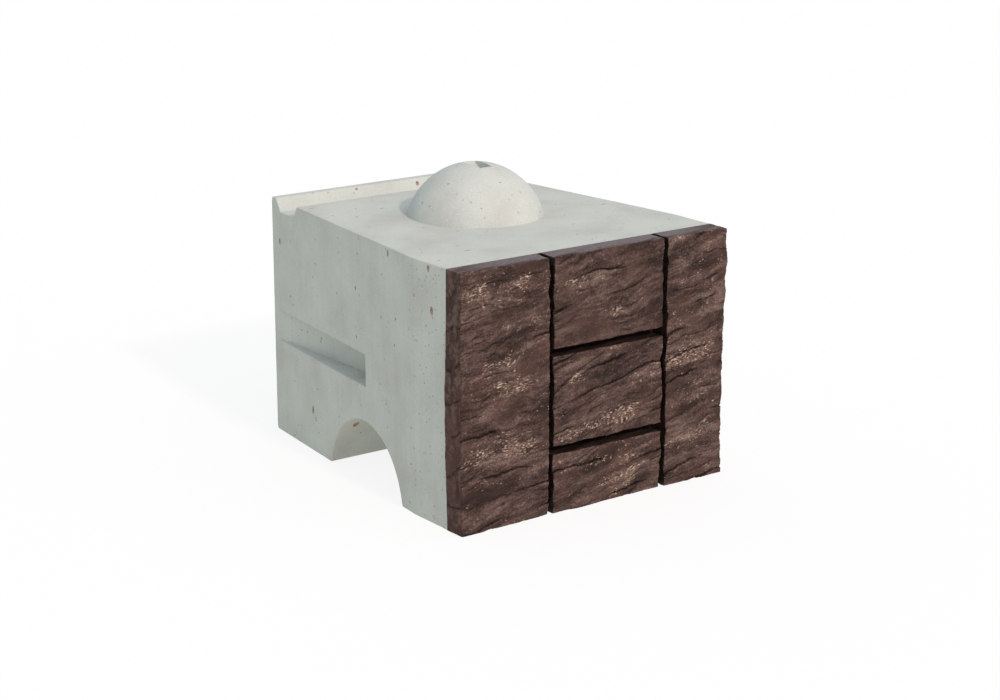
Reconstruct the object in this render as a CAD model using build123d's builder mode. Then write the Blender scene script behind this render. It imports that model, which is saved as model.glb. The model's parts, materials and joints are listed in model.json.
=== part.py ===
import os

from build123d import *

# A precast concrete retaining-wall block, one casting, standing as it is laid.
# Millimetres, +Z up, face towards -Y, origin on the floor under the middle of the block.

# Body
block_height = 457.0        # course height, floor to top plane
face_width = 576.0          # across the face
back_width = 444.0          # across the rear end
face_thickness = 41.0       # stones of the face, in front of the body
body_depth = 665.0          # body behind the stones
land_length = 97.0          # straight part of each side, before the taper starts
arris = 3.0                 # chamfer along the body's cast edges

# Knob on the top plane, which locks into the groove of the block above
knob_radius = 125.0         # where it meets the top plane
knob_height = 95.0
knob_setback = 358.0        # from the front of the face to the knob's axis

# Lifting pocket in the crown of the knob, deepest at its front end, its floor rising to the rear
lift_pocket_width = 28.0
lift_pocket_length = 59.0   # at the level of the crown
lift_pocket_depth = 32.0    # crown to floor, at the front end
lift_pocket_lead = 31.0     # front end in front of the knob's axis

# Arched groove across the underside
groove_width = 282.0        # at the floor
groove_height = 117.0       # floor to crown
course_setback = 30.0       # groove axis in front of the knob's axis, which steps each course back

# Trough across the top, just inside the rear edge
trough_width = 90.0         # at the top plane
trough_floor_width = 58.0
trough_depth = 23.0
trough_rear_slope = 18.0    # run of the rear wall from the top plane to the floor
rear_lip = 19.0             # wall left behind the trough

# Wedge pocket in each side, deepest at its front end and running out towards the rear
side_pocket_bottom = 182.0
side_pocket_height = 60.0
side_pocket_depth = 54.0
side_pocket_setback = 323.0  # from the front of the face to the pocket's front end
side_pocket_runout = 15.0    # plain side left between the pocket's thin end and the rear end

# Face of five stones: a tall one each side and three courses between them
upright_joint_width = 9.0
bed_joint_width = 15.0
joint_depth = 38.0
left_stone_width = 190.0    # left edge of the face to the middle of the first upright joint
right_stone_width = 136.0   # middle of the second upright joint to the right edge
lower_bed_height = 114.0    # floor to the middle of the lower bed joint
upper_bed_height = 289.0    # floor to the middle of the upper bed joint
stone_arris = 4.0           # broken edge round the front of each stone

# Places worked out from the sizes
total_depth = face_thickness + body_depth
face_y = -total_depth / 2
body_y = face_y + face_thickness
land_y = body_y + land_length
rear_y = total_depth / 2
knob_y = face_y + knob_setback
lift_pocket_y = knob_y - lift_pocket_lead
groove_y = knob_y - course_setback
top_z = block_height
crown_z = top_z + knob_height
past = 2 * stone_arris       # how far a cut runs out of the block
half_face = face_width / 2
half_back = back_width / 2
side_pocket_y = face_y + side_pocket_setback
runout_y = rear_y - side_pocket_runout
left_joint_x = -half_face + left_stone_width
right_joint_x = half_face - right_stone_width


def half_width(y):
    """Half the width of the block at y, on the tapered part of its sides."""
    return half_face - (half_face - half_back) * (y - land_y) / (rear_y - land_y)


with BuildPart() as wall_block:
    # Plan of the block, square behind the face and tapered to the rear, carried up to the top plane
    with BuildSketch():
        with BuildLine():
            Polyline(
                (0, face_y),
                (half_face, face_y),
                (half_face, land_y),
                (half_back, rear_y),
                (0, rear_y),
            )
            mirror(about=Plane.YZ)
        make_face()
    extrude(amount=block_height)

    # Cast edges: the rear corners and the rim of the top and of the floor, behind the stones
    body_edges = wall_block.edges().filter_by(lambda edge: edge.center().Y > body_y)
    upright_edges = body_edges.filter_by(Axis.Z).group_by(Axis.Y)[-1]
    rim_edges = body_edges.group_by(Axis.Z)[0] + body_edges.group_by(Axis.Z)[-1]
    chamfer(upright_edges + rim_edges, length=arris)

    # Trough along the rear of the top, with sloping walls
    trough_rear_y = rear_y - rear_lip
    trough_floor_rear_y = trough_rear_y - trough_rear_slope
    with BuildSketch(Plane.YZ):
        with BuildLine():
            Polyline(
                (trough_rear_y, top_z),
                (trough_floor_rear_y, top_z - trough_depth),
                (trough_floor_rear_y - trough_floor_width, top_z - trough_depth),
                (trough_rear_y - trough_width, top_z),
                (trough_rear_y - trough_width, top_z + past),
                (trough_rear_y, top_z + past),
                close=True,
            )
        make_face()
    extrude(amount=half_face + past, both=True, mode=Mode.SUBTRACT)

    # Arched groove through the underside
    with BuildSketch(Plane.YZ):
        with BuildLine():
            ThreePointArc(
                (groove_y - groove_width / 2, 0),
                (groove_y, groove_height),
                (groove_y + groove_width / 2, 0),
            )
            Polyline(
                (groove_y + groove_width / 2, 0),
                (groove_y + groove_width / 2, -past),
                (groove_y - groove_width / 2, -past),
                (groove_y - groove_width / 2, 0),
            )
        make_face()
    extrude(amount=half_face + past, both=True, mode=Mode.SUBTRACT)

    # Wedge pockets: a plan triangle against each tapered side
    with BuildSketch(Plane.XY.offset(side_pocket_bottom)):
        with BuildLine():
            Polyline(
                (half_width(side_pocket_y) - side_pocket_depth, side_pocket_y),
                (half_face + past, side_pocket_y),
                (half_face + past, runout_y),
                (half_width(runout_y), runout_y),
                close=True,
            )
        make_face()
        mirror(about=Plane.YZ)
    extrude(amount=side_pocket_height, mode=Mode.SUBTRACT)

    # Knob: a cap of a sphere, turned about its upright axis
    with BuildSketch(Plane.XZ.offset(-knob_y)):
        with BuildLine():
            cap = TangentArc((0, crown_z), (knob_radius, top_z), tangent=(1, 0))
            Polyline(cap @ 1, (0, top_z), cap @ 0)
        make_face()
    revolve(axis=Axis((0, knob_y, 0), (0, 0, 1)))

    # Lifting pocket: a wedge between upright walls, its floor a ramp up to the crown
    with BuildSketch(Plane.YZ):
        with BuildLine():
            Polyline(
                (lift_pocket_y, crown_z + past),
                (lift_pocket_y, crown_z - lift_pocket_depth),
                (lift_pocket_y + lift_pocket_length, crown_z),
                (lift_pocket_y + lift_pocket_length, crown_z + past),
                close=True,
            )
        make_face()
    extrude(amount=lift_pocket_width / 2, both=True, mode=Mode.SUBTRACT)

    # Joints between the stones of the face
    with BuildSketch(Plane.XZ.offset(-face_y)):
        for joint_x in (left_joint_x, right_joint_x):
            with Locations((joint_x, block_height / 2)):
                Rectangle(upright_joint_width, block_height + 2 * past)
        for bed_z in (lower_bed_height, upper_bed_height):
            with Locations(((left_joint_x + right_joint_x) / 2, bed_z)):
                Rectangle(right_joint_x - left_joint_x, bed_joint_width)
    extrude(amount=-joint_depth, mode=Mode.SUBTRACT)

    # Broken edges round the front of each stone
    stone_fronts = wall_block.faces().filter_by(Axis.Y).group_by(Axis.Y)[0]
    chamfer(stone_fronts.edges(), length=stone_arris)

wall_block.part.label = "wall_block"

os.makedirs("parts", exist_ok=True)
export_step(wall_block.part, "parts/wall_block.step")
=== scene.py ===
# Looks of a precast retaining-wall block: a pale wet-cast body with its knob, and a face of
# stained cast stones. Metres in the CAD frame: face towards -Y, +Z up, floor at z = 0.
# Lengths in the dictionaries are millimetres, and turns are degrees.
import functools
import itertools
import json
import math

import bpy
import numpy as np
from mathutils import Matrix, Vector


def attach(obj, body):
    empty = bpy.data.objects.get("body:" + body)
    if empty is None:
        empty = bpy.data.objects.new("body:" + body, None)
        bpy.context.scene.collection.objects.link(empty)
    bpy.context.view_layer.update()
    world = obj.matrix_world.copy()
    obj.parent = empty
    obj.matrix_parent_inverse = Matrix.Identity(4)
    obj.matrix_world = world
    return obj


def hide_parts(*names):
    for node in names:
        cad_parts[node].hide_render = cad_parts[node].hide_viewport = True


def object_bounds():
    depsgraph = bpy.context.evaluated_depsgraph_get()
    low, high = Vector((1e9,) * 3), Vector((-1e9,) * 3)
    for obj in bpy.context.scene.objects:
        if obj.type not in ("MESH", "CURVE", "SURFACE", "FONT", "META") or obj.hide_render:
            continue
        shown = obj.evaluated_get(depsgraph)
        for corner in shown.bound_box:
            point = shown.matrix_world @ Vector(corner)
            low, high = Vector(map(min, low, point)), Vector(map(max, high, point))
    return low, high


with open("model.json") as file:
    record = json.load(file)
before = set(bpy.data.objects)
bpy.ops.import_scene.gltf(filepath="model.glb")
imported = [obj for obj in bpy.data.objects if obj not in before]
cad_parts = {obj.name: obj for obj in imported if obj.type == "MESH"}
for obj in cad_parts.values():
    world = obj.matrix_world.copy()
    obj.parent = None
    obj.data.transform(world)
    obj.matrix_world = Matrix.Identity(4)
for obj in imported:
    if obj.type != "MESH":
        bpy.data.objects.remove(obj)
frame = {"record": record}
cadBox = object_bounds()
mounts = {mount["name"]: mount for mount in frame["record"]["mounts"]}
mm = 0.001
cadLow, cadHigh = (np.array(corner) / mm for corner in cadBox)
topPlane = mounts["top"]["pos_m"][2] / mm     # course height
noiseStart = 7           # added to the seed of a noise
cellShift = 8192         # keeps the numbers of a noise's cells above nought
noiseGain = 1.5          # brings a noise to about -1 to 1
wallSlope = 140.0        # how steeply an upright wall goes in past its rim
sharpAngle = 48.0        # edges that turn by more stay sharp
print("frame loaded, CAD box", cadLow.round(1), cadHigh.round(1))


def scramble(key):
    # mixes the bits of whole numbers below 2**32, so that neighbours become unrelated
    for _ in range(2):
        key = (key ^ (key >> 16)) * 0x45D9F3B & 0xFFFFFFFF
    return key ^ (key >> 16)


def softNoise(seed, *axes):
    # gradient noise, about -1 to 1: every lattice corner has a random slope, and a point blends
    # the heights of the slopes round it by a smooth fade along each axis
    axes = np.broadcast_arrays(*axes)
    cells = [np.floor(axis) for axis in axes]
    parts = [axis - cell for axis, cell in zip(axes, cells)]
    fades = [part ** 3 * (part * (part * 6 - 15) + 10) for part in parts]
    total = np.zeros(axes[0].shape)
    for corner in itertools.product((0, 1), repeat=len(axes)):
        key = np.full(axes[0].shape, seed + noiseStart, np.uint64)
        for cell, step in zip(cells, corner):
            key = scramble(key ^ (cell + step + cellShift).astype(np.uint64))
        weight, rise = 1.0, 0.0
        for part, fade, step in zip(parts, fades, corner):
            key = scramble(key + np.uint64(1))
            weight = weight * (fade if step else 1 - fade)
            rise = rise + (part - step) * (key / 2 ** 31 - 1)
        total += weight * rise
    return total * noiseGain


def noiseSum(seed, parts, *axes):
    # sum of soft noises, each with its weight and its size along every axis
    return sum(weight * softNoise(seed + i, *(axis / size for axis, size in zip(axes, sizes)))
               for i, (weight, *sizes) in enumerate(parts))


def bellSum(line, bells):
    # sum of bell curves along a line, each with its middle, its reach and its height
    return sum(height * np.exp(-((line - middle) / reach) ** 2) for middle, reach, height in bells)


def smoothStep(low, high, value):
    # 0 at low, 1 at high, an even S between them
    t = np.clip((value - low) / (high - low), 0, 1)
    return t * t * (3 - 2 * t)


def boxBlur(field, reach):
    # mean over a square window, from running sums along each direction in turn
    for axis in (0, 1):
        edges = [(reach + 1, reach) if axis == a else (0, 0) for a in (0, 1)]
        sums = np.pad(field, edges, mode="edge").cumsum(axis)
        at = np.arange(field.shape[axis])
        field = (sums.take(at + 2 * reach + 1, axis) - sums.take(at, axis)) / (2 * reach + 1)
    return field


def quarterRound(past, radius):
    # how far a quarter round has turned in, at a distance past its start
    past = np.clip(past, 0, radius)
    return radius - np.sqrt(radius ** 2 - past ** 2)


def wallInset(past, rim):
    # inset of an upright wall: nothing outside it, a quarter round at its rim, then steeply in
    return quarterRound(past + rim, rim) + np.clip(past, 0, None) * wallSlope


def turned(x, z, degrees):
    # places along and across a direction that rises by some degrees
    sine, cosine = math.sin(math.radians(degrees)), math.cos(math.radians(degrees))
    return x * cosine + z * sine, z * cosine - x * sine


def gridQuads(index):
    # the four-sided faces between neighbouring rows and columns of a grid of vertex numbers
    return np.stack([index[:-1, :-1], index[:-1, 1:], index[1:, 1:], index[1:, :-1]], -1).reshape(-1, 4)


def rimOf(grid):
    # the border of a grid, once round: first row, last column, last row back, first column back
    return np.concatenate([grid[0, :-1], grid[:-1, -1], grid[-1, :0:-1], grid[:0:-1, 0]])


def closedRound(index):
    # the same grid of vertex numbers with its first column again at the end
    return np.concatenate([index, index[:, :1]], 1)


def fanOf(ring, middle):
    # triangles from a closed ring of vertex numbers to one in the middle
    return np.stack([ring, np.roll(ring, -1), np.full(len(ring), middle)], -1)


def closedGrid(front, behind, rows=()):
    # points and faces of a grid that is closed by a fan to one point, after any rows behind its rim
    index = np.arange(front[..., 0].size).reshape(front.shape[:2])
    rim = rimOf(index)
    rows = np.reshape(rows, (-1, 3))
    rowIndex = index.size + np.arange(len(rows)).reshape(-1, len(rim))
    rowIndex = np.concatenate([rim[None], rowIndex])
    points = np.concatenate([front.reshape(-1, 3), rows, [behind]])
    return points, [gridQuads(index), gridQuads(closedRound(rowIndex))[:, ::-1],
                    fanOf(rowIndex[-1], len(points) - 1)[:, ::-1]]


def placeObject(name, data):
    # an object at the origin that shows a mesh, a lamp or a camera
    placed = bpy.data.objects.new(name, data)
    bpy.context.scene.collection.objects.link(placed)
    return placed


def makePiece(name, points, faces, material, slot, **fields):
    # points in millimetres and arrays of faces become one closed mesh that rides on the block;
    # the volume under the faces has a sign, which says whether they point inwards
    points = np.asarray(points, float)
    triangles = np.concatenate([part[:, [0, i, i + 1]]
                                for part in faces for i in range(1, part.shape[1] - 1)])
    a, b, c = (points[triangles[:, i]] for i in range(3))
    if (np.cross(a, b) * c).sum() < 0:
        faces = [part[:, ::-1] for part in faces]
    sizes = np.concatenate([np.full(len(part), part.shape[1]) for part in faces])
    corners = np.concatenate([part.ravel() for part in faces])
    mesh = bpy.data.meshes.new(name)
    mesh.vertices.add(len(points))
    mesh.vertices.foreach_set("co", (points * mm).astype(np.float32).ravel())
    mesh.loops.add(len(corners))
    mesh.loops.foreach_set("vertex_index", corners.astype(np.int32))
    mesh.polygons.add(len(sizes))
    mesh.polygons.foreach_set("loop_start", (sizes.cumsum() - sizes).astype(np.int32))
    for field, values in fields.items():
        attribute = mesh.attributes.new(field, "FLOAT", "POINT")
        attribute.data.foreach_set("value", np.asarray(values, np.float32))
    mesh.update(calc_edges=True)
    mesh.validate()
    mesh.shade_smooth()
    mesh.set_sharp_from_angle(angle=math.radians(sharpAngle))
    mesh.materials.append(material)
    piece = placeObject(name, mesh)
    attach(piece, "root")
    print(f"{name}: {len(points)} points, {len(triangles)} triangles")
    return piece


def hexColour(code):
    # an sRGB hex code as linear red, green, blue and alpha
    parts = [int(code[i:i + 2], 16) / 255 for i in (1, 3, 5)]
    return [part / 12.92 if part <= 0.04045 else ((part + 0.055) / 1.055) ** 2.4 for part in parts] + [1.0]


def scaleOf(size):
    # scale of a texture whose features have a size in millimetres
    return 1 / (size * mm)


def addNode(tree, kind, inputs=(), ramp=(), **settings):
    # a node with its settings; inputs are values, hex colours, or nodes and sockets to link from, listed
    # in order or held by name or number; ramp holds (place, hex colour) stops, its two ends first.
    # A MapRange lists its value, the range taken and the range given; a Mix has its colours at 6 and 7
    node = tree.nodes.new("ShaderNode" + kind)
    for key, value in settings.items():
        setattr(node, key, value)
    for key, value in inputs.items() if isinstance(inputs, dict) else enumerate(inputs):
        if isinstance(value, bpy.types.Node):
            value = value.outputs[0]
        if isinstance(value, bpy.types.NodeSocket):
            tree.links.new(value, node.inputs[key])
        else:
            node.inputs[key].default_value = hexColour(value) if isinstance(value, str) else value
    for i, (place, code) in enumerate(ramp):
        stops = node.color_ramp.elements
        stop = stops[i] if i < 2 else stops.new(place)
        stop.position, stop.color = place, hexColour(code)
    return node


def newMaterial(name):
    # an empty material, and addNode bound to its tree
    material = bpy.data.materials.new(name)
    material.use_nodes = True
    material.node_tree.nodes.clear()
    return material, functools.partial(addNode, material.node_tree)


def closeMaterial(node, look, colour, layers, height=None):
    # lays colours over one another, each with its share and its blend, and makes the surface from them
    for share, layer, blend in layers:
        colour = node("Mix", {0: share, 6: colour, 7: layer}, data_type="RGBA", blend_type=blend).outputs[2]
    surface = {"Base Color": colour, "Roughness": look["roughness"], "Specular IOR Level": look["specular"]}
    if height:
        surface["Normal"] = node("Bump", {"Strength": look["bumpStrength"], "Height": height,
                                          "Distance": look["bumpHeight"] * mm})
    node("OutputMaterial", {"Surface": node("BsdfPrincipled", surface)})


# Wet-cast concrete, cured against steel forms: pale grey and matte, with soft clouds where the
# paste is richer, faint upright runs on the sides, pin holes darkened with painted shade, and pale grains of
# sand.
concreteLook = {
    "clouds": [(0.3, "#BCBEBB"), (0.72, "#C8CECA"), (0.5, "#C3C8C4")],
    # the pit colour is painted shade in the pin holes
    "run": "#9FA19E", "pit": "#837F77", "speck": "#D8D8D3",
    "noises": [(95.0, 4.0, 0.55), (2.6, 3.0, 0.7)],      # clouds and sand: size, detail and roughness
    "sandRange": (0.3, 0.7), "sandShades": (0.9, 1.08),
    # runs: how far a face may lean, their size, where they show and how strong they get
    "runFacing": (0.75, 0.25), "runWidth": 11.0, "runLength": 110.0, "runRange": (0.35, 0.68), "runMost": 0.1,
    # share of the cells that hold a pin hole or a speck, their reach in cells, and where and how far a pin
    # hole is darkened with painted shade
    "spotSpacing": 11.0, "pitShare": 0.27, "pitReach": (0.05, 0.3), "pitRange": (0.05, 0.5), "pitMost": 0.66,
    "speckShare": 0.28, "speckReach": 0.1,
    "pitRelief": -4.0, "bumpStrength": 0.5, "bumpHeight": 0.6, "specular": 0.25, "roughness": 0.86,
}


def wetCastConcrete():
    look = concreteLook
    material, node = newMaterial("wetCastConcrete")
    place = node("TexCoord").outputs["Object"]

    # clouds of paste, a hand's breadth wide, and its sand, drawn coarser than it is so that it shows
    cloud, sand = (
        node("TexNoise", {"Vector": place, "Scale": scaleOf(size), "Detail": detail, "Roughness": part})
        for size, detail, part in look["noises"])
    paste = node("ValToRGB", [cloud], ramp=look["clouds"])
    sandShade = node("MapRange", [sand, *look["sandRange"], *look["sandShades"]])

    # upright runs left by the form: narrow across, long in height, and none on level faces
    facing = node("SeparateXYZ", [node("NewGeometry").outputs["True Normal"]]).outputs["Z"]
    upright = node("MapRange", [node("Math", [facing], operation="ABSOLUTE"), *look["runFacing"]])
    runScale = [scaleOf(look["runWidth"])] * 2 + [scaleOf(look["runLength"])]
    runPlace = node("Mapping", {"Vector": place, "Scale": runScale})
    runs = node("TexNoise", {"Vector": runPlace, "Scale": 1.0, "Detail": 2.0})
    runShade = node("MapRange", [runs, *look["runRange"], 0.0, look["runMost"]])
    runAmount = node("Math", [runShade, upright], operation="MULTIPLY")

    # pin holes, each of its own size and darkened with painted shade, and pale grains: some cells hold one,
    # drawn from the cell's own colour
    cells = node("TexVoronoi", {"Vector": place, "Scale": scaleOf(look["spotSpacing"])})
    pitDraw, speckDraw = node("SeparateColor", [cells.outputs["Color"]]).outputs[:2]
    pitReach = node("MapRange", [pitDraw, 1 - look["pitShare"], 1.0, *look["pitReach"]])
    pit = node("MapRange", [cells, pitReach, 0.0])
    pitHeld = node("Math", [pitDraw, 1 - look["pitShare"]], operation="GREATER_THAN")
    pitDepth = node("Math", [pit, pitHeld], operation="MULTIPLY")
    pitAmount = node("MapRange", [pitDepth, *look["pitRange"], 0.0, look["pitMost"]])
    speck = node("Math", [cells, look["speckReach"]], operation="LESS_THAN")
    speckHeld = node("Math", [speckDraw, 1 - look["speckShare"]], operation="GREATER_THAN")
    speckAmount = node("Math", [speck, speckHeld], operation="MULTIPLY")

    relief = node("Math", [pitDepth, look["pitRelief"], sand], operation="MULTIPLY_ADD")
    layers = [(runAmount, look["run"], "MIX"), (1.0, sandShade, "MULTIPLY"),
              (pitAmount, look["pit"], "MIX"), (speckAmount, look["speck"], "MIX")]
    closeMaterial(node, look, paste, layers, relief)
    return material


# Iron-bearing gravel broken open at the skin: rust brown and dull, with grey below and round it painted as
# the shade of its small pit.
gravelLook = {
    # the pit grey is painted shade
    "rust": "#9A7361", "pit": "#94918A", "grainSize": 2.0, "grainWeight": 0.8, "rustRange": (0.6, 1.0),
    "specular": 0.2, "roughness": 0.9,
}


def rustedGravel():
    look = gravelLook
    material, node = newMaterial("rustedGravel")
    place = node("TexCoord").outputs["Object"]
    rust = node("Attribute", attribute_name="rust").outputs["Fac"]
    grain = node("TexNoise", {"Vector": place, "Scale": scaleOf(look["grainSize"]), "Detail": 2.0})
    ragged = node("Math", [grain, look["grainWeight"], rust], operation="MULTIPLY_ADD")
    amount = node("MapRange", [ragged, *look["rustRange"]])
    closeMaterial(node, look, look["pit"], [(amount, look["rust"], "MIX")])
    return material


# Cast stone coloured with an acid stain: browns that run along the bedding, darkened with painted shade in
# the hollows, cracks and undercuts, rubbed back to tan in worn places and, as painted highlight, on the small
# crests, near black in the joints.
stainLook = {
    # stain from deep to light, and flecks from rubbed to bare
    "shades": [(0.0, "#281C1A"), (1.0, "#6D5B56"), (0.3, "#3C2D2A"), (0.62, "#53413D")],
    "flecks": [(0.42, "#907A6F"), (0.68, "#D2B9A7")],
    # the lilac-grey is a painted sheen: the sky's reflection on the upper returns, seen at a grazing angle
    "red": "#543D37", "crack": "#150C0A", "bloom": "#706B71",
    # blotches, reddish patches, bare paste and sand: size, detail and roughness
    "noises": [(3.6, 4.0, 0.65), (90.0, 2.0, 0.5), (9.0, 1.0, 0.5), (1.6, 3.0, 0.7)],
    "mottleWeight": 1.7, "levelDrop": 1.34, "redRange": (0.48, 0.66), "redMost": 0.42,
    # where the painted sheen shows, by the blotches, and its least share there
    "bloomRange": (0.64, 0.44), "bloomLeast": 0.3,
    # streaks and flecks: length and thickness, then detail and roughness of their noise
    "streakSize": (17.0, 2.4), "fleckSize": (6.0, 2.4), "bedNoises": [(3.0, 0.6), (1.5, 0.5)],
    # flecks start lower where the piece is worn, and along the lit crests as painted highlight
    "fleckLevel": 0.705, "fleckDrop": -0.21, "fleckSoft": 0.19,      # where flecks start, lowered by wear
    "bumpStrength": 0.6, "bumpHeight": 0.8, "specular": 0.16, "roughness": 0.72,
}


def stainedCastStone():
    look = stainLook
    material, node = newMaterial("stainedCastStone")
    place = node("TexCoord").outputs["Object"]
    tone, hollow, worn, bloom, red, layer = (node("Attribute", attribute_name=name).outputs["Fac"]
                                             for name in ("tone", "hollow", "worn", "bloom", "red", "layer"))
    mottle, redPatch, bare, sand = (
        node("TexNoise", {"Vector": place, "Scale": scaleOf(size), "Detail": detail, "Roughness": part})
        for size, detail, part in look["noises"])

    # streaks and flecks lie along the bent bedding, whose layer is in millimetres
    parts = node("SeparateXYZ", [place]).outputs
    bed = node("CombineXYZ", [parts["X"], parts["Y"], layer])
    beds = (node("Mapping", {"Vector": bed, "Scale": [scaleOf(length)] * 2 + [1 / thick]})
            for length, thick in (look["streakSize"], look["fleckSize"]))
    streak, fleck = (
        node("TexNoise", {"Vector": bedPlace, "Scale": 1.0, "Detail": detail, "Roughness": part})
        for bedPlace, (detail, part) in zip(beds, look["bedNoises"]))

    # shade of the stain: the piece's own bands, small blotches and streaks; some of it redder
    blotched = node("Math", [mottle, look["mottleWeight"], tone], operation="MULTIPLY_ADD")
    shade = node("Math", [streak, blotched], operation="ADD")
    level = node("Math", [shade, look["levelDrop"]], operation="SUBTRACT")
    shaded = node("ValToRGB", [level], ramp=look["shades"])
    redPart = node("MapRange", [redPatch, *look["redRange"], 0.0, look["redMost"]])
    redAmount = node("Math", [redPart, red], operation="ADD", use_clamp=True)

    # a painted lilac-grey sheen on the upper returns, in patches: the sky's reflection seen at a grazing
    # angle
    bloomPatch = node("MapRange", [mottle, *look["bloomRange"], look["bloomLeast"], 1.0])
    bloomAmount = node("Math", [bloom, bloomPatch], operation="MULTIPLY")

    # pale flecks: more of them where the piece is worn, and along the lit crests as painted highlight; some
    # down to the bare paste
    fleckLow = node("Math", [worn, look["fleckDrop"], look["fleckLevel"]], operation="MULTIPLY_ADD")
    fleckHigh = node("Math", [fleckLow, look["fleckSoft"]], operation="ADD")
    fleckAmount = node("MapRange", [fleck, fleckLow, fleckHigh])
    fleckColour = node("ValToRGB", [bare], ramp=look["flecks"])

    # the crack colour: painted shade in the hollows, cracks and undercuts, and the joints' own near-black
    layers = [(redAmount, look["red"], "MIX"), (bloomAmount, look["bloom"], "MIX"),
              (fleckAmount, fleckColour, "MIX"), (hollow, look["crack"], "MIX")]
    closeMaterial(node, look, shaded, layers, sand)
    return material


concrete = wetCastConcrete()
gravel = rustedGravel()
stain = stainedCastStone()
print("materials made")


# Body behind the stones: an outline carried across the width, its sides drawn in to the rear
castBody = {
    "front": -312.0, "rear": 353.0, "halfFace": 288.0, "halfBack": 222.0, "landEnd": -215.0,
    "troughLine": [(244.0, 0.0), (258.0, -23.0), (316.0, -23.0), (334.0, 0.0)],      # y, height from the top
    "grooveWidth": 282.0, "grooveHeight": 117.0,
    # reach and steps of the windows that ease corners, and the band inside the groove's edge where it starts
    "troughEase": (0.9, 11), "grooveEase": (2.4, 15), "easeBand": (16.0, 8.0),
    "pocketLow": 182.0, "pocketHigh": 242.0, "pocketFront": -30.0, "pocketRear": 338.0,
    "pocketDepth": 54.0, "pocketRim": 1.2, "cornerRound": 2.2,
    # arris: weight, length and thickness of its wear, the share and range of it, crisp behind the stones
    "arris": 1.6, "arrisTurns": 6, "wear": [(1.0, 34, 34), (0.5, 9, 9)], "wearShare": 0.45,
    "wearRange": (0.5, 1.35), "crispRange": (-0.5, 14.0), "crispLeast": 0.08,
    # columns along the depth and across, and rows up the sides
    "columnStep": 5.0, "leastStep": 0.18, "archColumns": 61, "cornerReach": 6.0, "cornerColumns": 13,
    "rimSteps": [-3.0, -1.8, -1.2, -0.7, -0.3, 0.0, 0.4, 1.2, 2.8], "frontSteps": [1.0, 2.5], "rearTurns": 7,
    "rowsBelow": 26, "rowsAbove": 32, "pocketRows": 13, "pocketMargin": 6.0, "crossColumns": 56, "seed": 11,
}
grooveY = mounts["groove"]["pos_m"][1] / mm
grooveHalf = castBody["grooveWidth"] / 2
archRadius = (grooveHalf ** 2 + castBody["grooveHeight"] ** 2) / (2 * castBody["grooveHeight"])
archCentre = castBody["grooveHeight"] - archRadius


def halfWidth(y):
    # straight behind the face, then an even taper to the rear
    b = castBody
    return np.interp(y, [b["landEnd"], b["rear"]], [b["halfFace"], b["halfBack"]])


def rearRound(y):
    # how far the quarter round at the rear end has turned away from a level face
    b = castBody
    return quarterRound(y - (b["rear"] - b["cornerRound"]), b["cornerRound"])


def bodyTop(y):
    # the top plane with the trough's straight walls, averaged over a short window to ease the corners
    reach, steps = castBody["troughEase"]
    knots = np.array(castBody["troughLine"])
    window = np.linspace(-1, 1, steps) * reach
    return topPlane + np.interp(y[:, None] + window, knots[:, 0], knots[:, 1]).mean(1) - rearRound(y)


def bodyBottom(y):
    # the floor plane with the groove's circular arch, averaged over a short window where it springs
    reach, steps = castBody["grooveEase"]
    bandStart, bandEnd = castBody["easeBand"]
    out = y[:, None] + np.linspace(-1, 1, steps) * reach - grooveY
    arch = np.clip(np.sqrt(np.clip(archRadius ** 2 - out ** 2, 0, None)) + archCentre, 0, None)
    plain, eased = arch[:, steps // 2], arch.mean(1)
    near = smoothStep(grooveHalf - bandStart, grooveHalf - bandEnd, np.abs(y - grooveY))
    return plain + (eased - plain) * near + rearRound(y)


def bodyColumns():
    # places along the depth: even steps, the arch by equal angles, and closer ones at each corner
    b = castBody
    spring = math.asin(grooveHalf / archRadius)
    archY = grooveY + archRadius * np.sin(np.linspace(-spring, spring, b["archColumns"]))
    corners = [archY[0], archY[-1]] + [knot[0] for knot in b["troughLine"]]
    closer = np.linspace(-b["cornerReach"], b["cornerReach"], b["cornerColumns"])
    columns = np.concatenate([
        np.arange(b["front"], b["rear"], b["columnStep"]), archY[1:-1], [b["landEnd"], b["pocketRear"]],
        *[corner + closer for corner in corners],
        b["pocketFront"] + np.array(b["rimSteps"]),
        b["rear"] - b["cornerRound"] * (1 - np.sin(np.radians(np.linspace(0, 90, b["rearTurns"])))),
        b["front"] + np.array(b["frontSteps"]),
    ])
    columns = np.unique(columns.round(2))
    columns = columns[np.concatenate([[True], np.diff(columns) > b["leastStep"]])]
    columns[-1] = b["rear"]
    return columns


def rowHeights(low, high):
    # heights of the rows up a side: even below and above the wedge pocket, closer at its two edges
    b = castBody
    rimSteps = np.array(b["rimSteps"])
    lower, upper, margin = b["pocketLow"], b["pocketHigh"], b["pocketMargin"]
    inside = np.linspace(lower + margin, upper - margin, b["pocketRows"])
    pocket = np.concatenate([lower + rimSteps, inside, upper - rimSteps[::-1]])
    below = np.linspace(0, 1, b["rowsBelow"] + 1)[:-1, None]
    above = np.linspace(0, 1, b["rowsAbove"] + 1)[1:, None]
    return np.concatenate([low + below * (pocket[0] - low), pocket[:, None] + 0 * low,
                           pocket[-1] + above * (high - pocket[-1])])


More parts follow.
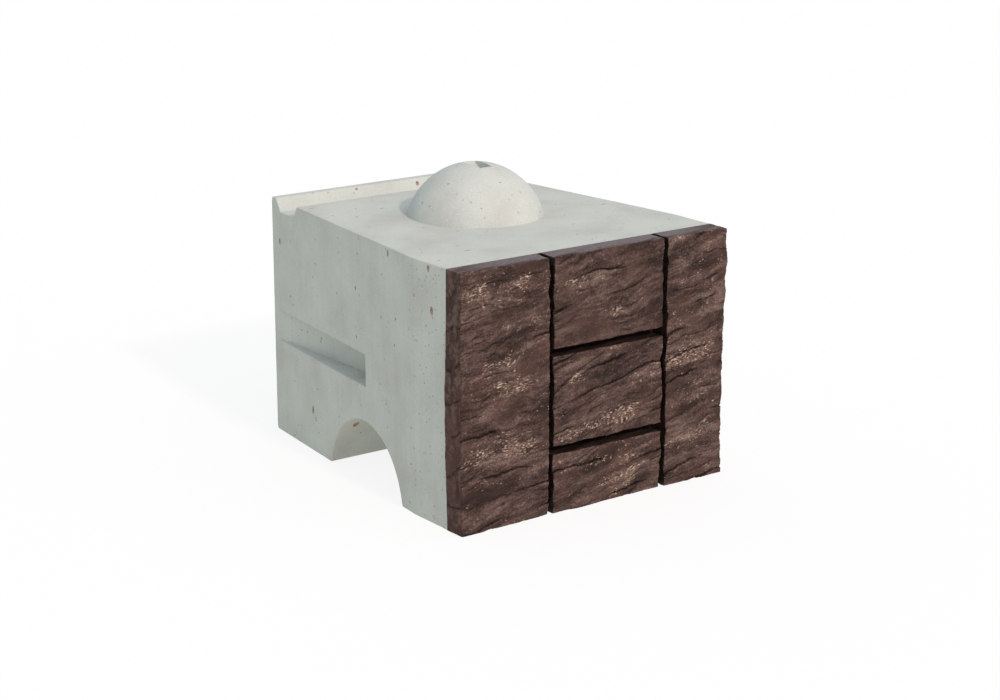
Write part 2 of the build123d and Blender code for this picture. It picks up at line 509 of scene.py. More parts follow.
def buildBody():
    b = castBody

    # outline round the body, and the run of the arris that is worn along it
    columns = bodyColumns()
    low, high = bodyBottom(columns), bodyTop(columns)
    z = rowHeights(low, high)
    y = np.broadcast_to(columns, z.shape)
    outline = np.stack([rimOf(y), rimOf(z)], -1)
    along = np.roll(outline, -1, 0) - np.roll(outline, 1, 0)
    normal = np.stack([along[:, 1], -along[:, 0]], -1) / np.linalg.norm(along, axis=1, keepdims=True)
    wear = noiseSum(b["seed"], b["wear"], *outline.T)
    crisp = smoothStep(*b["crispRange"], outline[:, 0] - b["front"])
    arris = b["arris"] * np.clip(1 + b["wearShare"] * wear, *b["wearRange"])
    arris *= crisp * (1 - b["crispLeast"]) + b["crispLeast"]

    # sheet from side to side: quarter rounds at both ends, straight between
    turns = np.radians(np.linspace(90, 0, b["arrisTurns"]))
    ends = np.ones(len(turns))
    straight = np.zeros(b["crossColumns"] - 1)
    inset = np.concatenate([1 - np.cos(turns), straight, 1 - np.cos(turns[::-1])])
    reach = np.concatenate([np.sin(turns), straight, np.sin(turns[::-1])])
    share = np.concatenate([-ends, np.linspace(-1, 1, b["crossColumns"] + 1)[1:-1], ends])
    ring = outline - normal * arris[:, None] * inset[:, None, None]
    x = share[:, None] * (halfWidth(ring[..., 0]) - arris) + np.sign(share)[:, None] * arris * reach[:, None]
    sheet = np.concatenate([x[..., None], ring], -1)
    sheetIndex = np.arange(x.size).reshape(x.shape)
    faces = [gridQuads(closedRound(sheetIndex))]
    points = [sheet.reshape(-1, 3)]

    # sides: their rim is the sheet's first or last loop, so the grid moves in with it
    rows, count = y.shape
    cells = rimOf(np.arange(rows * count).reshape(rows, count))
    shift = np.zeros((2, rows * count))
    shift[:, cells] = (ring[0] - outline).T
    shiftY, shiftZ = shift.reshape(2, rows, count)
    sideY = y + shiftY
    sideZ = rowHeights(low + shiftZ[0], high + shiftZ[-1])

    # half width less the wedge pocket: the least of its own depth and the insets of its three walls
    depth = np.interp(sideY, [b["pocketFront"], b["pocketRear"]], [b["pocketDepth"], 0])
    walls = [sideZ - b["pocketLow"], b["pocketHigh"] - sideZ, sideY - b["pocketFront"]]
    pocket = np.minimum.reduce([depth] + [wallInset(past, b["pocketRim"]) for past in walls])
    inner = np.ones(rows * count, bool)
    inner[cells] = False
    start = sheetIndex.size
    for side, loop in ((-1, sheetIndex[0]), (1, sheetIndex[-1])):
        index = np.empty(rows * count, int)
        index[cells] = loop
        index[inner] = start + np.arange(inner.sum())
        start += inner.sum()
        points.append(np.stack([side * (halfWidth(sideY) - pocket), sideY, sideZ], -1).reshape(-1, 3)[inner])
        faces.append(gridQuads(index.reshape(rows, count))[:, ::side])
    body = makePiece("cast_body", np.concatenate(points), faces, concrete, "cast_concrete")
    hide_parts("wall_block")


buildBody()


# Rusty gravel and open pits at the skin, the pits' grey painted shade: low ovals, each with its length up and
# its width across
skinMarks = {
    # y and z on the sides
    "left": [(322, 376, 15, 9), (-261, 448, 13, 8), (-270, 376, 18, 10), (191, 79, 18, 10)],
    "leftPits": [(-123, 446, 16, 8), (4, 356, 9, 7), (-149, 335, 7, 5), (-218, 393, 7, 5), (280, 279, 6, 5),
                 (-144, 287, 7, 5), (3, 267, 7, 5)],
    "right": [(-240, 120, 15, 9), (60, 330, 18, 10), (250, 250, 13, 8), (-60, 420, 15, 8)],
    # x and z at the rear end and on the trough's rear wall
    "rear": [(-120, 300, 15, 10), (90, 150, 16, 9), (150, 400, 12, 8)],
    "trough": [(-47, 453, 6, 7), (92, 448, 12, 9)],
    # x, and the turn from the crown of the groove
    "tunnel": [(-222, 43, 36, 15), (140, -32, 14, 11)],
    # x and y on the top plane
    "topPits": [(-217, 218, 4, 17), (-113, 142, 4, 12), (-182, -226, 5, 18), (-191, 107, 4, 9),
                (239, -71, 5, 14)],
    "height": 0.4, "rimDip": 0.2, "sunk": 1.2, "rings": 5, "firstRing": 0.2, "turns": 16, "seed": 41,
    "edgeWave": 0.2, "edgeTurns": 1.3, "edgeApart": 5.0,      # unevenness of the edge, its own for each mark
    "rustSoft": 0.3, "rustRim": (1.1, 0.85), "rustMiddle": 0.5, "pitRust": -0.6,
}


def markFrames():
    # frames of all marks: a place, and two directions whose cross product points out of the concrete
    m, b = skinMarks, castBody
    rows = []
    lean = math.atan2(b["halfFace"] - b["halfBack"], b["rear"] - b["landEnd"])
    for side, name in ((-1, "left"), (-1, "leftPits"), (1, "right")):
        for y, z, length, width in m[name]:
            turn = lean if y > b["landEnd"] else 0
            across = (width * math.sin(turn), -side * width * math.cos(turn), 0)
            rows.append([(side * halfWidth(y), y, z), (0, 0, length), across])
    for x, z, length, width in m["rear"]:
        rows.append([(x, b["rear"], z), (0, 0, length), (width, 0, 0)])
    (lowY, lowZ), (highY, highZ) = b["troughLine"][2:]
    rise = np.array((0, highY - lowY, highZ - lowZ)) / math.hypot(highY - lowY, highZ - lowZ)
    for x, z, length, width in m["trough"]:
        wallY = np.interp(z - topPlane, [lowZ, highZ], [lowY, highY])
        rows.append([(x, wallY, z), rise * length, (-width, 0, 0)])
    for x, angle, length, width in m["tunnel"]:
        sine, cosine = math.sin(math.radians(angle)), math.cos(math.radians(angle))
        rows.append([(x, grooveY + archRadius * sine, archCentre + archRadius * cosine),
                     (0, cosine * length, -sine * length), (width, 0, 0)])
    for x, y, length, width in m["topPits"]:
        rows.append([(x, y, topPlane), (0, length, 0), (-width, 0, 0)])
    return rows


def buildSkinMarks():
    m = skinMarks
    rows = markFrames()
    centre, up, across = (np.array([row[i] for row in rows], float)[:, None, None] for i in range(3))
    normal = np.cross(up, across)
    normal /= np.linalg.norm(normal, axis=-1, keepdims=True)

    # each mark is rings of an oval with an uneven edge, domed by the square of the reach, and closed
    # below the skin
    reach = np.linspace(m["firstRing"], 1, m["rings"])[:, None]
    turn = np.linspace(0, 2 * np.pi, m["turns"], endpoint=False)
    number = np.arange(len(rows))[:, None, None]
    wave = softNoise(m["seed"], np.cos(turn) * m["edgeTurns"] + m["edgeApart"] * number,
                     np.sin(turn) * m["edgeTurns"] + 0 * number)
    edge = 0.5 + m["edgeWave"] * wave
    dome = (m["height"] * (1 - reach ** 2) - m["rimDip"] * reach ** 6 + 0 * turn)[..., None]
    partUp, partAcross = ((edge * reach * turnPart)[..., None] for turnPart in (np.sin(turn), np.cos(turn)))
    top = centre + partUp * up + partAcross * across + dome * normal
    middle, under = (centre[:, 0] + level * normal[:, 0] for level in (m["height"], -m["sunk"]))
    points = np.concatenate([top.reshape(len(rows), -1, 3), middle, under], 1)
    ringIndex = np.arange(m["rings"] * m["turns"]).reshape(m["rings"], m["turns"])
    faces = [gridQuads(closedRound(ringIndex)), fanOf(ringIndex[0], ringIndex.size)[:, ::-1],
             fanOf(ringIndex[-1], ringIndex.size + 1)]
    faces = [(part + points.shape[1] * number).reshape(-1, part.shape[1]) for part in faces]

    # rust in the upper part, and the grey of painted pit shade below and round it; the open pits are all
    # painted shade
    plain = np.zeros(len(rows), bool)
    plain[len(m["left"]):len(m["left"]) + len(m["leftPits"])] = True
    plain[-len(m["topPits"]):] = True
    rust = smoothStep(-m["rustSoft"], m["rustSoft"], reach * np.sin(turn)) * smoothStep(*m["rustRim"], reach)
    rust = np.concatenate([rust.ravel(), [m["rustMiddle"], 0]])
    rust = np.where(plain[:, None], m["pitRust"], rust)
    makePiece("skin_marks", points.reshape(-1, 3), faces, gravel, "cast_concrete", rust=rust.ravel())


buildSkinMarks()


# Knob: a cap of a sphere on the top plane, with a wedge pocket in its crown
knob = {
    "sink": 6.0, "closing": 4.0,                                 # carried on below the top plane, and closed
    "squareHalf": 46.0, "squareStep": 1.5, "turnStep": 1.15,     # square grid at the crown, then rings
    "roundShare": 0.94,                                          # of the foot, where the rings are round
    "pocketHalf": 14.0, "pocketLead": 31.0, "pocketLength": 59.0, "pocketDepth": 32.0, "pocketRim": 1.6,
    "rimSteps": [-2.6, -1.6, -1.0, -0.5, -0.15, 0.0, 0.35, 1.0, 2.2],
    "lumps": [(0.35, 28, 28, 28)], "lumpShare": 0.9, "seed": 31,      # none at the foot
}


def buildKnob():
    k = knob
    foot, height = (mounts["knob"]["dims"][key] for key in ("r_mm", "length_mm"))
    knobY = mounts["knob"]["pos_m"][1] / mm
    radius = (foot ** 2 + height ** 2) / (2 * height)
    centreZ = topPlane + height - radius

    # one line of the grid: fine steps across the crown, then equal turns down to the foot and below it
    first = math.asin(k["squareHalf"] / radius)
    last = math.acos((topPlane - k["sink"] - centreZ) / radius)
    rings = radius * np.sin(np.linspace(first, last, int(math.degrees(last - first) / k["turnStep"])))
    rimSteps = np.array(k["rimSteps"])
    middle = np.arange(-k["squareHalf"] + k["squareStep"], k["squareHalf"], k["squareStep"])
    both = np.concatenate([middle, rings, -rings])
    acrossLine = np.concatenate([both, -k["pocketHalf"] + rimSteps, k["pocketHalf"] - rimSteps])
    depthLine = np.concatenate([both, -k["pocketLead"] + rimSteps])
    u, v = np.meshgrid(np.unique(acrossLine.round(3)), np.unique(depthLine.round(3)))

    # square rings turn into round ones: the place on the square, and the one at the same reach on a
    # circle, blended outwards
    reach = np.maximum(np.abs(u), np.abs(v))
    onCircle = reach / np.maximum(np.hypot(u, v), 1e-6)
    blend = smoothStep(k["squareHalf"], foot * k["roundShare"], reach)
    x, y = (line * (1 - blend + blend * onCircle) for line in (u, v))
    out = np.minimum(np.hypot(x, y), radius)
    z = centreZ + np.sqrt(radius ** 2 - out ** 2)
    z += noiseSum(k["seed"], k["lumps"], x, y, z) * smoothStep(foot, foot * k["lumpShare"], out)

    # the pocket's depth is the least of the insets of its three walls and the drop to its ramp
    ramp = topPlane + height - k["pocketDepth"] * (1 - (y + k["pocketLead"]) / k["pocketLength"])
    walls = [k["pocketHalf"] - x, k["pocketHalf"] + x, y + k["pocketLead"]]
    insets = [wallInset(past, k["pocketRim"]) for past in walls]
    cut = np.minimum.reduce([np.clip(z - ramp, 0, None)] + insets)
    dome = np.stack([x, y + knobY, z - cut], -1)
    behind = [0, knobY, topPlane - k["sink"] - k["closing"]]
    makePiece("knob", *closedGrid(dome, behind), concrete, "cast_concrete")


buildKnob()


# Face of five cast stones, split along a bedding that rises to the right
stoneFace = {
    "plane": -353.0, "skirtBack": -312.4, "hiddenBack": -305.0,
    "stones": {      # left, right, bottom, top, shade, wear and a seed
        "left_stone": (-288.0, -102.5, 0.0, 457.0, 0.4, -0.02, 101),
        "bottom_stone": (-93.5, 147.5, 0.0, 106.5, 0.45, 0.02, 202),
        "middle_stone": (-93.5, 147.5, 121.5, 281.5, 0.46, -0.04, 303),
        "top_stone": (-93.5, 147.5, 296.5, 457.0, 0.42, -0.2, 404),
        "right_stone": (156.5, 288.0, 0.0, 457.0, 0.44, 0.06, 505),
    },
    "step": 1.2, "margin": 1.0,       # of the grid, and within which an edge counts as outer
    "stand": 0.8, "proud": 3.2,       # in front of the plane, on average and at most
    # breaks of the edges: depth and length, how far in they fade, less along beds, uprights worn back
    "ragged": [(4.0, 42), (1.6, 14), (0.7, 5)], "raggedReach": 20.0, "bedRagged": 0.5, "jointWear": 0.7,
    # arris: radius, share and length of its wear, range, and its share at the floor and at the top
    "arris": 1.5, "arrisTurns": 4, "arrisWear": [(0.8, 22), (0.4, 7)], "arrisRange": (0.4, 2.0),
    "floorArris": 0.6, "topArris": 1.5, "cornerRound": 5.0,
    # bulges of the right outer side, and of both at their rear edge: height, reach and how far out
    "bulges": [(415, 75, 6.5), (290, 90, 2.0), (0, 40, 3.5)], "rearBulges": [(200, 140, 4.8)],
    # bends of the bedding and swells of the rock: height, length along and thickness across
    "dip": 9.0, "bends": [(13, 150, 85), (6.5, 58, 38), (2.5, 16, 13), (1.0, 4.5, 5)],
    "swells": [(3.0, 105, 80), (2.6, 150, 30), (1.3, 70, 13), (0.6, 28, 6), (0.34, 5.5, 4), (0.2, 2.6, 2.6)],
    # splits: turn from the dip, spacing, length of an opening, lift, darkness of the painted shade in its
    # crack and undercut, and how seldom it opens
    "splits": [(0, 41, 125, 2.0, 0.76, -0.06), (0, 17, 72, 0.9, 0.62, 0.02), (0, 7.5, 34, 0.4, 0.44, 0.1),
               (24, 46, 42, 1.0, 0.66, 0.14)],
    # wander of a split, its length and thickness in spacings, how softly it opens, and a step in the noise
    "wander": (0.3, 2.4, 1.7), "openSoft": 0.34, "openStep": 7.31,
    # share of the lift and reach in spacings, or in millimetres for the crack; place and reach of the crest
    "lip": (0.8, 0.1), "undercut": (1.3, 0.17), "crack": (0.7, 0.95), "crest": (0.05, 0.07),
    # painted shade on the undercut, as a share of the crack's darkness
    "underDark": 0.35,
    # bands of pale and dark stain, and worn places: weight, length along and thickness across
    "bands": [(0.46, 130, 30), (0.42, 58, 13), (0.28, 18, 6)], "rubs": [(0.45, 125, 32), (0.6, 30, 12)],
    # larger worn patches, and deeper or thinner stain: x, z, reach along and across the dip, and amount
    "rubSpots": [
        (-255, 420, 34, 14, 1.0), (-165, 430, 26, 13, 0.7), (-195, 405, 90, 26, 0.3),
        (-200, 294, 48, 11, 0.7), (-165, 246, 42, 13, 0.75), (-195, 262, 90, 34, 0.3),
        (-165, 131, 38, 13, 0.9), (-250, 127, 40, 18, 0.6), (-190, 145, 90, 22, 0.4),
        (-62, 407, 36, 11, 0.8), (50, 415, 60, 12, 0.35), (40, 342, 34, 11, 0.6), (-48, 238, 30, 11, 0.6),
        (60, 157, 36, 14, 1.0), (-20, 145, 70, 13, 0.5), (112, 208, 40, 16, 0.5), (58, 38, 40, 16, 0.8),
        (100, 70, 50, 18, 0.4), (205, 235, 52, 16, 0.9), (215, 255, 70, 38, 0.3), (230, 163, 46, 9, 0.5),
        (185, 82, 30, 12, 0.9), (243, 92, 42, 11, 0.8), (225, 432, 40, 14, 0.5),
    ],
    "stainSpots": [
        (-145, 342, 34, 18, -0.5), (48, 244, 34, 20, -0.5), (-245, 62, 64, 15, -0.6),
        (238, 404, 52, 16, -0.4), (45, 88, 60, 10, -0.35), (220, 140, 50, 10, -0.35),
        (-55, 258, 45, 16, 0.25), (-190, 124, 60, 18, 0.15), (230, 42, 50, 20, 0.25),
        (-140, 92, 50, 16, 0.25),
    ],
    # hollows, darkened with painted shade: reach in grid steps, depth where they start to darken, depth and
    # darkness at the most
    "hollowBlur": 4, "hollowFrom": 0.5, "hollowDepth": 3.0, "hollowMost": 0.5, "crackDark": 0.85,
    # painted light and shade from the relief, tone from wear, and painted highlight on the crests over a
    # range of tone
    "toneBlur": 5, "reliefTone": 0.07, "rubTone": 0.16, "rubRange": (-0.15, 0.85),
    "crestHighlight": 0.5, "crestRange": (0.4, 0.75),
    # skirt: rows, closer in front; roughness by height and size; insets; lean to the rear
    "skirtRows": 14, "skirtCrowd": 1.7, "sideRough": [(1.2, 26, 11, 26), (0.6, 8, 4, 8)], "roughFade": 0.6,
    "jointInset": 0.9, "sideInset": 0.1, "leanRough": 0.3, "leanShare": 0.8, "tuck": 4.0,
    # outer sides: cracks by spacing, length and how seldom, with darkness of their painted shade and half
    # width; an upright seam
    "sideRun": 3.0, "sideSplit": (60.0, 60.0, -0.4), "sideCrack": (0.95, 2.3), "seamPlace": -345.0,
    "seamSway": [(5.0, 60)], "seamGaps": [(1.0, 55)], "seamSoft": 0.35, "seamHalf": 3.2, "seamDark": 0.6,
    "sideShade": 0.48, "sideBands": [(1.1, 40, 34), (1.0, 14, 9)], "sideRed": 0.4, "jointDark": 0.8,
    # upper returns: patches of the painted sky sheen, more to the rear and less towards the outer corners
    "sheenNoises": [(0.8, 30, 12), (0.5, 9, 6)], "sheenRange": (-0.55, 0.1), "sheenBack": 0.8, "sheenFrom": 0.35,
    "sheenCorner": (5.0, 90.0), "cornerSheen": 0.25,
}


def bedding(x, z, seed):
    # places along and across the bedding, the second bent by wide waves and made jagged by small ones
    along, across = turned(x, z, stoneFace["dip"])
    return along, across + noiseSum(seed, stoneFace["bends"], along, across)


def splitLines(along, across, spacing, length, seldom, seed):
    # boundaries lie a spacing apart and wander a little; gives the distance above the nearest one,
    # and how open it is here, which comes and goes along its length
    s = stoneFace
    wander, wanderLength, wanderThick = s["wander"]
    sway = softNoise(seed, along / (wanderLength * spacing), across / (wanderThick * spacing))
    place = across / spacing + wander * sway
    nearest = np.round(place)
    opening = softNoise(seed + 1, along / length, nearest * s["openStep"])
    return (place - nearest) * spacing, smoothStep(seldom, seldom + s["openSoft"], opening)


def splitRelief(x, z, seed):
    # height of split rock: swells, then splits, each with a lip below its boundary, an undercut above it
    # and a crack between; with it go the painted shade of crack and undercut, the painted highlight of the
    # crest below, and the bedding
    s = stoneFace
    (lipLift, lipReach), (underLift, underReach) = s["lip"], s["undercut"]
    (crackLift, crackHalf), (crestPlace, crestReach) = s["crack"], s["crest"]
    along, across = bedding(x, z, seed)
    height = noiseSum(seed + 4, s["swells"], along, across)
    dark, crest = np.zeros(x.shape), np.zeros(x.shape)
    for i, (turn, spacing, length, lift, darkness, seldom) in enumerate(s["splits"]):
        run, over = turned(along, across, turn)
        above, opening = splitLines(run, over, spacing, length, seldom, seed + 30 + 2 * i)
        lip = np.exp(np.minimum(above, 0) / (lipReach * spacing)) * (above < 0)
        under = np.exp(-np.maximum(above, 0) / (underReach * spacing)) * (above >= 0)
        crack = np.exp(-(above / crackHalf) ** 2)
        height = height + lift * opening * (lipLift * lip - underLift * under - crackLift * crack)
        # painted shade in the crack and, less of it, on the undercut above it
        dark = np.maximum(dark, opening * darkness * np.maximum(crack, s["underDark"] * under))
        # painted highlight on the lit crest just below the crack
        fromCrest = (above + crestPlace * spacing) / (crestReach * spacing)
        crest = np.maximum(crest, opening * np.exp(-fromCrest ** 2))
    return height, dark, crest, along, across


def softSpots(x, z, spots):
    # sum of ovals that fade outwards as a bell curve, each laid along the dip
    total = np.zeros(x.shape)
    for spotX, spotZ, length, thick, amount in spots:
        along, across = turned(x - spotX, z - spotZ, stoneFace["dip"])
        total += amount * np.exp(-(along / length) ** 2 - (across / thick) ** 2)
    return total


def edgeLine(low, high):
    # one line of a stone's grid: even steps between two quarter rounds, with the share of the arris's
    # run and drop at each place of the low end
    s = stoneFace
    turns = np.radians(np.linspace(0, 90, s["arrisTurns"] + 1))[:-1]
    inside = np.linspace(low + s["arris"], high - s["arris"], int((high - low) / s["step"]))
    line = np.concatenate([np.full(len(turns), low), inside, np.full(len(turns), high)])
    run, drop = np.zeros(len(line)), np.zeros(len(line))
    run[:len(turns)], drop[:len(turns)] = 1 - np.cos(turns), 1 - np.sin(turns)
    return line, run, drop


def raggedEdge(line, seed):
    # how far an edge is broken in or out, and the radius of its arris, along its length
    s = stoneFace
    wear = noiseSum(seed + len(s["ragged"]), s["arrisWear"], line)
    return np.stack([noiseSum(seed, s["ragged"], line), s["arris"] * np.clip(1 + wear, *s["arrisRange"])])


def stoneEdges(xLine, zLine, seed):
    # break and arris of the left, right, bottom and top edge: worn back along the upright joints, bulged
    # on the right outer side, broken only upwards from the floor and only downwards from the top plane
    s = stoneFace
    edges = [raggedEdge(line, seed + 20 + 10 * i) for i, line in enumerate((zLine, zLine, xLine, xLine))]
    left, right, bottom, top = edges
    bottom[0] *= s["bedRagged"]
    top[0] *= s["bedRagged"]
    if xLine[0] > cadLow[0]:
        left[0] += s["jointWear"]
    if xLine[-1] < cadHigh[0]:
        right[0] += s["jointWear"]
    else:
        right[0] -= bellSum(zLine, s["bulges"])
    if zLine[0] == 0:
        bottom[:] = np.clip(bottom[0], 0, None), s["floorArris"] * bottom[1]
    if zLine[-1] == topPlane:
        outerRound = quarterRound(xLine - cadHigh[0] + s["cornerRound"], s["cornerRound"])
        top[:] = np.clip(top[0], 0, None) + outerRound, s["topArris"] * top[1]
    return edges


def shiftedLine(line, run, edgeLow, edgeHigh):
    # places across the stone, with both edges moved by their raggedness; the move fades out inside
    s = stoneFace
    low, high, turns = line[0], line[-1], s["arrisTurns"]
    raggedLow, arrisLow, raggedHigh, arrisHigh = (part[:, None] for part in (*edgeLow, *edgeHigh))
    fadeLow = np.clip(1 - (line - low - s["arris"]) / s["raggedReach"], 0, 1) ** 2
    fadeHigh = np.clip(1 - (high - s["arris"] - line) / s["raggedReach"], 0, 1) ** 2
    place = line + fadeLow * (raggedLow + arrisLow - s["arris"])
    place = place - fadeHigh * (raggedHigh + arrisHigh - s["arris"])
    place[:, :turns] = low + raggedLow + arrisLow * run[:turns]
    place[:, -turns:] = high - raggedHigh - arrisHigh * run[:turns][::-1]
    return place


def frontColours(x, z, split, shade, wear, seed):
    # painted shade in the cracks, undercuts and hollows, painted light and shade from the relief, bands of
    # stain along the bedding, worn places and painted highlight on the crests
    s = stoneFace
    relief, dark, crest, along, across = split
    # painted shade in the hollows, and in the cracks and under the ledges
    hollow = (boxBlur(relief, s["hollowBlur"]) - relief - s["hollowFrom"]) / s["hollowDepth"]
    hollow = np.clip(hollow, 0, s["hollowMost"]) + s["crackDark"] * dark
    rubbed = wear + noiseSum(seed + 17, s["rubs"], along, across) + softSpots(x, z, s["rubSpots"])
    rubbed = smoothStep(*s["rubRange"], rubbed)
    tone = shade + noiseSum(seed + 14, s["bands"], along, across) + softSpots(x, z, s["stainSpots"])
    # painted light and shade: raised places lighter and sunken ones darker; then the wear
    tone = tone + s["reliefTone"] * (relief - boxBlur(relief, s["toneBlur"])) + s["rubTone"] * rubbed
    # worn places, with painted highlight along the lit crest below each crack where the tone is pale enough
    worn = rubbed + s["crestHighlight"] * crest * smoothStep(*s["crestRange"], tone)
    return {"tone": tone, "hollow": hollow, "worn": worn, "layer": across, "bloom": 0 * x, "red": 0 * x}


def stoneSkirt(edge, base, outward, inJoint, seed):
    # rows carried back from the rim of the front to the stone's own rectangle, rough between, and on the
    # outer sides leaning out to the rear; gives their share of the way back, and their places
    s = stoneFace
    share = np.linspace(0, 1, s["skirtRows"])[1:, None] ** s["skirtCrowd"]
    y = edge[:, 1] + (s["skirtBack"] - edge[:, 1]) * share
    flat = edge[:, [0, 2]] + (base - edge[:, [0, 2]]) * smoothStep(0, 1, share)[..., None]
    rough = noiseSum(seed + 61, s["sideRough"], flat[..., 0], y, flat[..., 1])
    rough = rough - np.where(inJoint, s["jointInset"], s["sideInset"])
    outer = np.abs(base[:, 0]) > cadHigh[0] - s["margin"]
    lean = outer * bellSum(base[:, 1], s["rearBulges"])
    lean = lean * (1 + s["leanRough"] * rough) * smoothStep(0.0, s["leanShare"], share)
    out = rough * np.sin(np.pi * share) ** s["roughFade"] + lean
    flat = flat + outward * out[..., None]
    return share, flat[..., 0], y, flat[..., 1]


def sideColours(share, x, y, z, base, outward, inJoint, seed):
    # nearly black in a joint; cracks across the outer sides drawn as painted shade, and an upright seam in
    # them; a painted sky sheen on the upper returns
    s = stoneFace
    crackDark, crackHalf = s["sideCrack"]
    along, across = bedding(x - s["sideRun"] * y, z, seed)
    above, opening = splitLines(along, across, *s["sideSplit"], seed + 64)
    fromSeam = y - (s["seamPlace"] + noiseSum(seed + 66, s["seamSway"], z))
    seamOpen = smoothStep(0.0, s["seamSoft"], noiseSum(seed + 67, s["seamGaps"], z))
    seam = np.exp(-(fromSeam / s["seamHalf"]) ** 2) * seamOpen
    # dark lines of painted shade for the cracks, and the seam
    cracks = np.maximum(crackDark * opening * np.exp(-(above / crackHalf) ** 2), s["seamDark"] * seam)
    tone = s["sideShade"] + noiseSum(seed + 68, s["sideBands"], along, across)
    # painted sky sheen on the upper returns, in patches, less of it towards the outer corners
    upward = outward[:, 1] * (base[:, 1] == topPlane) * smoothStep(0.0, s["sheenFrom"], share)
    inside = smoothStep(*s["sheenCorner"], cadHigh[0] - np.abs(x))
    sheenShare = smoothStep(*s["sheenRange"], noiseSum(seed + 74, s["sheenNoises"], x, y) + s["sheenBack"] * share)
    sheenShare = sheenShare * (s["cornerSheen"] + (1 - s["cornerSheen"]) * inside)
    hollow = np.where(inJoint, s["jointDark"], cracks * (upward == 0))
    red = np.where(inJoint | (upward > 0), 0, s["sideRed"])
    bloom = upward * sheenShare
    return {"tone": tone, "hollow": hollow, "worn": 0 * y, "layer": across, "bloom": bloom, "red": red}


def buildStone(name, left, right, bottom, top, shade, wear, seed):
    # a grid of split rock with ragged edges in front, and a rough skirt behind its rim
    s = stoneFace
    (xLine, xRun, xDrop), (zLine, zRun, zDrop) = edgeLine(left, right), edgeLine(bottom, top)
    onLeft, onRight, onBottom, onTop = stoneEdges(xLine, zLine, seed)
    x = shiftedLine(xLine, xRun, onLeft, onRight)
    z = shiftedLine(zLine, zRun, onBottom, onTop).T
    split = splitRelief(x, z, seed)
    drop = xDrop * onLeft[1][:, None] + xDrop[::-1] * onRight[1][:, None]
    drop = drop + zDrop[:, None] * onBottom[1] + zDrop[::-1, None] * onTop[1]
    y = s["plane"] - np.minimum(split[0] + s["stand"], s["proud"]) + drop
    front = np.stack([x, y, z], -1)

    # places of the front's rim on the stone's own rectangle, and the way out of the stone there
    base = np.stack([rimOf(grid) for grid in np.meshgrid(xLine, zLine)], -1)
    outward = np.stack([(base[:, 0] == right) * 1.0 - (base[:, 0] == left),
                        (base[:, 1] == top) * 1.0 - (base[:, 1] == bottom)], -1)
    outward /= np.linalg.norm(outward, axis=1, keepdims=True)
    inJoint = np.abs(base[:, 0]) < cadHigh[0] - s["margin"]
    inJoint &= (base[:, 1] > s["margin"]) & (base[:, 1] < topPlane - s["margin"])

    # skirt behind the rim, tucked in and closed inside the body
    share, sideX, sideY, sideZ = stoneSkirt(rimOf(front), base, outward, inJoint, seed)
    skirt = np.stack([sideX, sideY, np.clip(sideZ, 0, topPlane)], -1)
    tuck = base - s["tuck"] * outward
    tuck = np.stack([tuck[:, 0], np.full(len(base), s["hiddenBack"]), np.clip(tuck[:, 1], 0, None)], -1)
    behind = [(left + right) / 2, s["hiddenBack"], (bottom + top) / 2]
    points, faces = closedGrid(front, behind, np.concatenate([skirt, tuck[None]]))

    onFront = frontColours(x, z, split, shade, wear, seed)
    onSides = sideColours(share, sideX, sideY, sideZ, base, outward, inJoint, seed)
    hidden = np.zeros(len(base) + 1)
    fields = {key: np.concatenate([onFront[key].ravel(), onSides[key].ravel(), hidden]) for key in onFront}
    makePiece(name, points, faces, stain, "stained_face", **fields)


for name, place in stoneFace["stones"].items():
    buildStone(name, *place)


# Bed of the joints: a thin slab against the body, a little proud of it, uneven and nearly black
jointBed = {
    "left": -112.0, "right": 166.0, "front": -315.0, "back": -306.0, "edge": 0.5, "step": 3.0,
    "uneven": [(0.9, 9, 9)], "dark": 0.85, "shade": 0.2, "seed": 71,
}


def buildJointBed():
    # a flat grid with a small wave, its rim carried straight back and closed behind
    j = jointBed
    x, z = np.meshgrid(np.arange(j["left"], j["right"], j["step"]),
                       np.linspace(j["edge"], topPlane - j["edge"], int(topPlane / j["step"])))
    y = j["front"] + noiseSum(j["seed"], j["uneven"], x, z)
    front = np.stack([x, y, z], -1)
    back = rimOf(front) * [1, 0, 1] + [0, j["back"], 0]
    points, faces = closedGrid(front, [x.mean(), j["back"], z.mean()], back)
    flat = np.ones(len(points))
    makePiece("joint_bed", points, faces, stain, "stained_face", hollow=j["dark"] * flat,
              tone=j["shade"] * flat, worn=0 * flat, bloom=0 * flat, red=0 * flat, layer=points[:, 2])


buildJointBed()


# Studio: pale floor, warm key from the front, an even soft surround, and the camera at the photograph's angle
studio = {
    "white": "#FFFFFF", "floorBounce": "#A6A69D", "floorUnder": "#FFF9EE", "underLevel": 0.42,
    "floorReach": 40.0, "floorShow": 0.85,             # metres, and the share that glows to the camera
    "world": "#F0F9FF", "worldLevel": 0.67,
    # strength, spread, and turn from the face
    "lamps": {"keyLight": (1.57, 4.0, -2.3), "softLight": (0.82, 70.0, 12.0)},
    "lampColour": "#FFEADB", "lampAbove": 32.7,
    "cameraPlace": (-2.42637, -3.37494, 1.36948), "cameraTurn": (74.2784, 0.0, -36.2908),
    "lens": 84.02, "sensor": 36.0, "viewEnd": 200.0,   # and the camera's reach in metres
}


def backgroundRays(node):
    # 1 for a ray that shows the background itself: from the camera, in gloss or through glass
    rays = node("LightPath").outputs
    plain = node("Math", [rays["Is Camera Ray"], rays["Is Glossy Ray"]], operation="ADD")
    return node("Math", [plain, rays["Is Transmission Ray"]], operation="ADD", use_clamp=True)


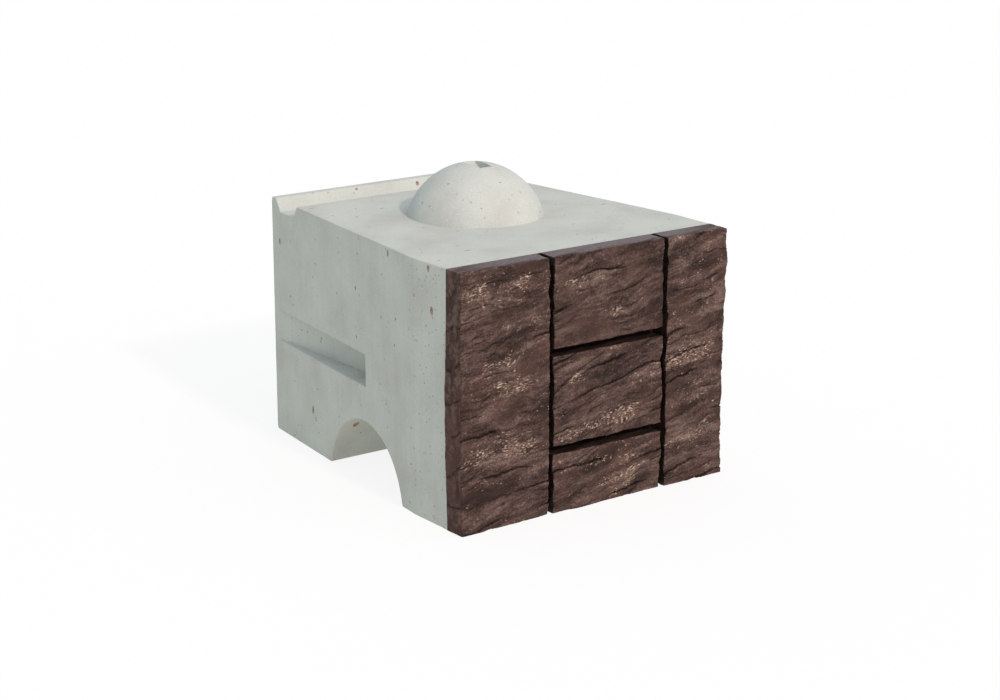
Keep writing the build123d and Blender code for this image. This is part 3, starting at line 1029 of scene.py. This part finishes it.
def buildFloor():
    # white where it is seen, with the shadow kept; to other light a grey sheet, lit a little from
    # below, which reaches under the arch
    s = studio
    material, node = newMaterial("studioFloor")
    lit = node("BsdfDiffuse", {"Color": s["white"]})
    glow = node("Emission", {"Color": s["white"], "Strength": 1.0})
    shown = node("MixShader", [s["floorShow"], lit, glow])
    dull = node("BsdfDiffuse", {"Color": s["floorBounce"]})
    under = node("Emission", {"Color": s["floorUnder"], "Strength": s["underLevel"]})
    bounce = node("AddShader", [dull, under])
    node("OutputMaterial", {"Surface": node("MixShader", [backgroundRays(node), bounce, shown])})
    reach = s["floorReach"]
    corners = [(-reach, -reach, 0), (reach, -reach, 0), (reach, reach, 0), (-reach, reach, 0)]
    mesh = bpy.data.meshes.new("floor")
    mesh.from_pydata(corners, [], [(0, 1, 2, 3)])
    mesh.materials.append(material)
    floor = placeObject("floor", mesh)


def buildLights():
    # an even surround that is white where it is seen, and two far lamps above the face
    s = studio
    world = bpy.data.worlds.new("studioAir")
    world.use_nodes = True
    world.node_tree.nodes.clear()
    node = functools.partial(addNode, world.node_tree)
    air = node("Background", {"Color": s["world"], "Strength": s["worldLevel"]})
    white = node("Background", {"Color": s["white"], "Strength": 1.0})
    node("OutputWorld", {"Surface": node("MixShader", [backgroundRays(node), air, white])})
    bpy.context.scene.world = world
    above = math.radians(s["lampAbove"])
    for name, (strength, spread, turn) in s["lamps"].items():
        lamp = bpy.data.lights.new(name, "SUN")
        lamp.color = hexColour(s["lampColour"])[:3]
        lamp.energy = strength
        lamp.angle = math.radians(spread)
        acrossPart, outPart = math.sin(math.radians(turn)), math.cos(math.radians(turn))
        towards = Vector((acrossPart * math.cos(above), -outPart * math.cos(above), math.sin(above)))
        placeObject(name, lamp).rotation_euler = towards.to_track_quat("Z", "Y").to_euler()


def buildCamera():
    # the view of the photograph, with colours shown as they are
    s = studio
    view = bpy.data.cameras.new("camera")
    view.sensor_fit, view.sensor_width, view.lens = "HORIZONTAL", s["sensor"], s["lens"]
    view.clip_end = s["viewEnd"]
    camera = placeObject("camera", view)
    camera.location = s["cameraPlace"]
    camera.rotation_euler = [math.radians(angle) for angle in s["cameraTurn"]]
    bpy.context.scene.camera = camera
    bpy.context.scene.view_settings.view_transform = "Standard"


buildFloor()
buildLights()
buildCamera()
print("studio made")
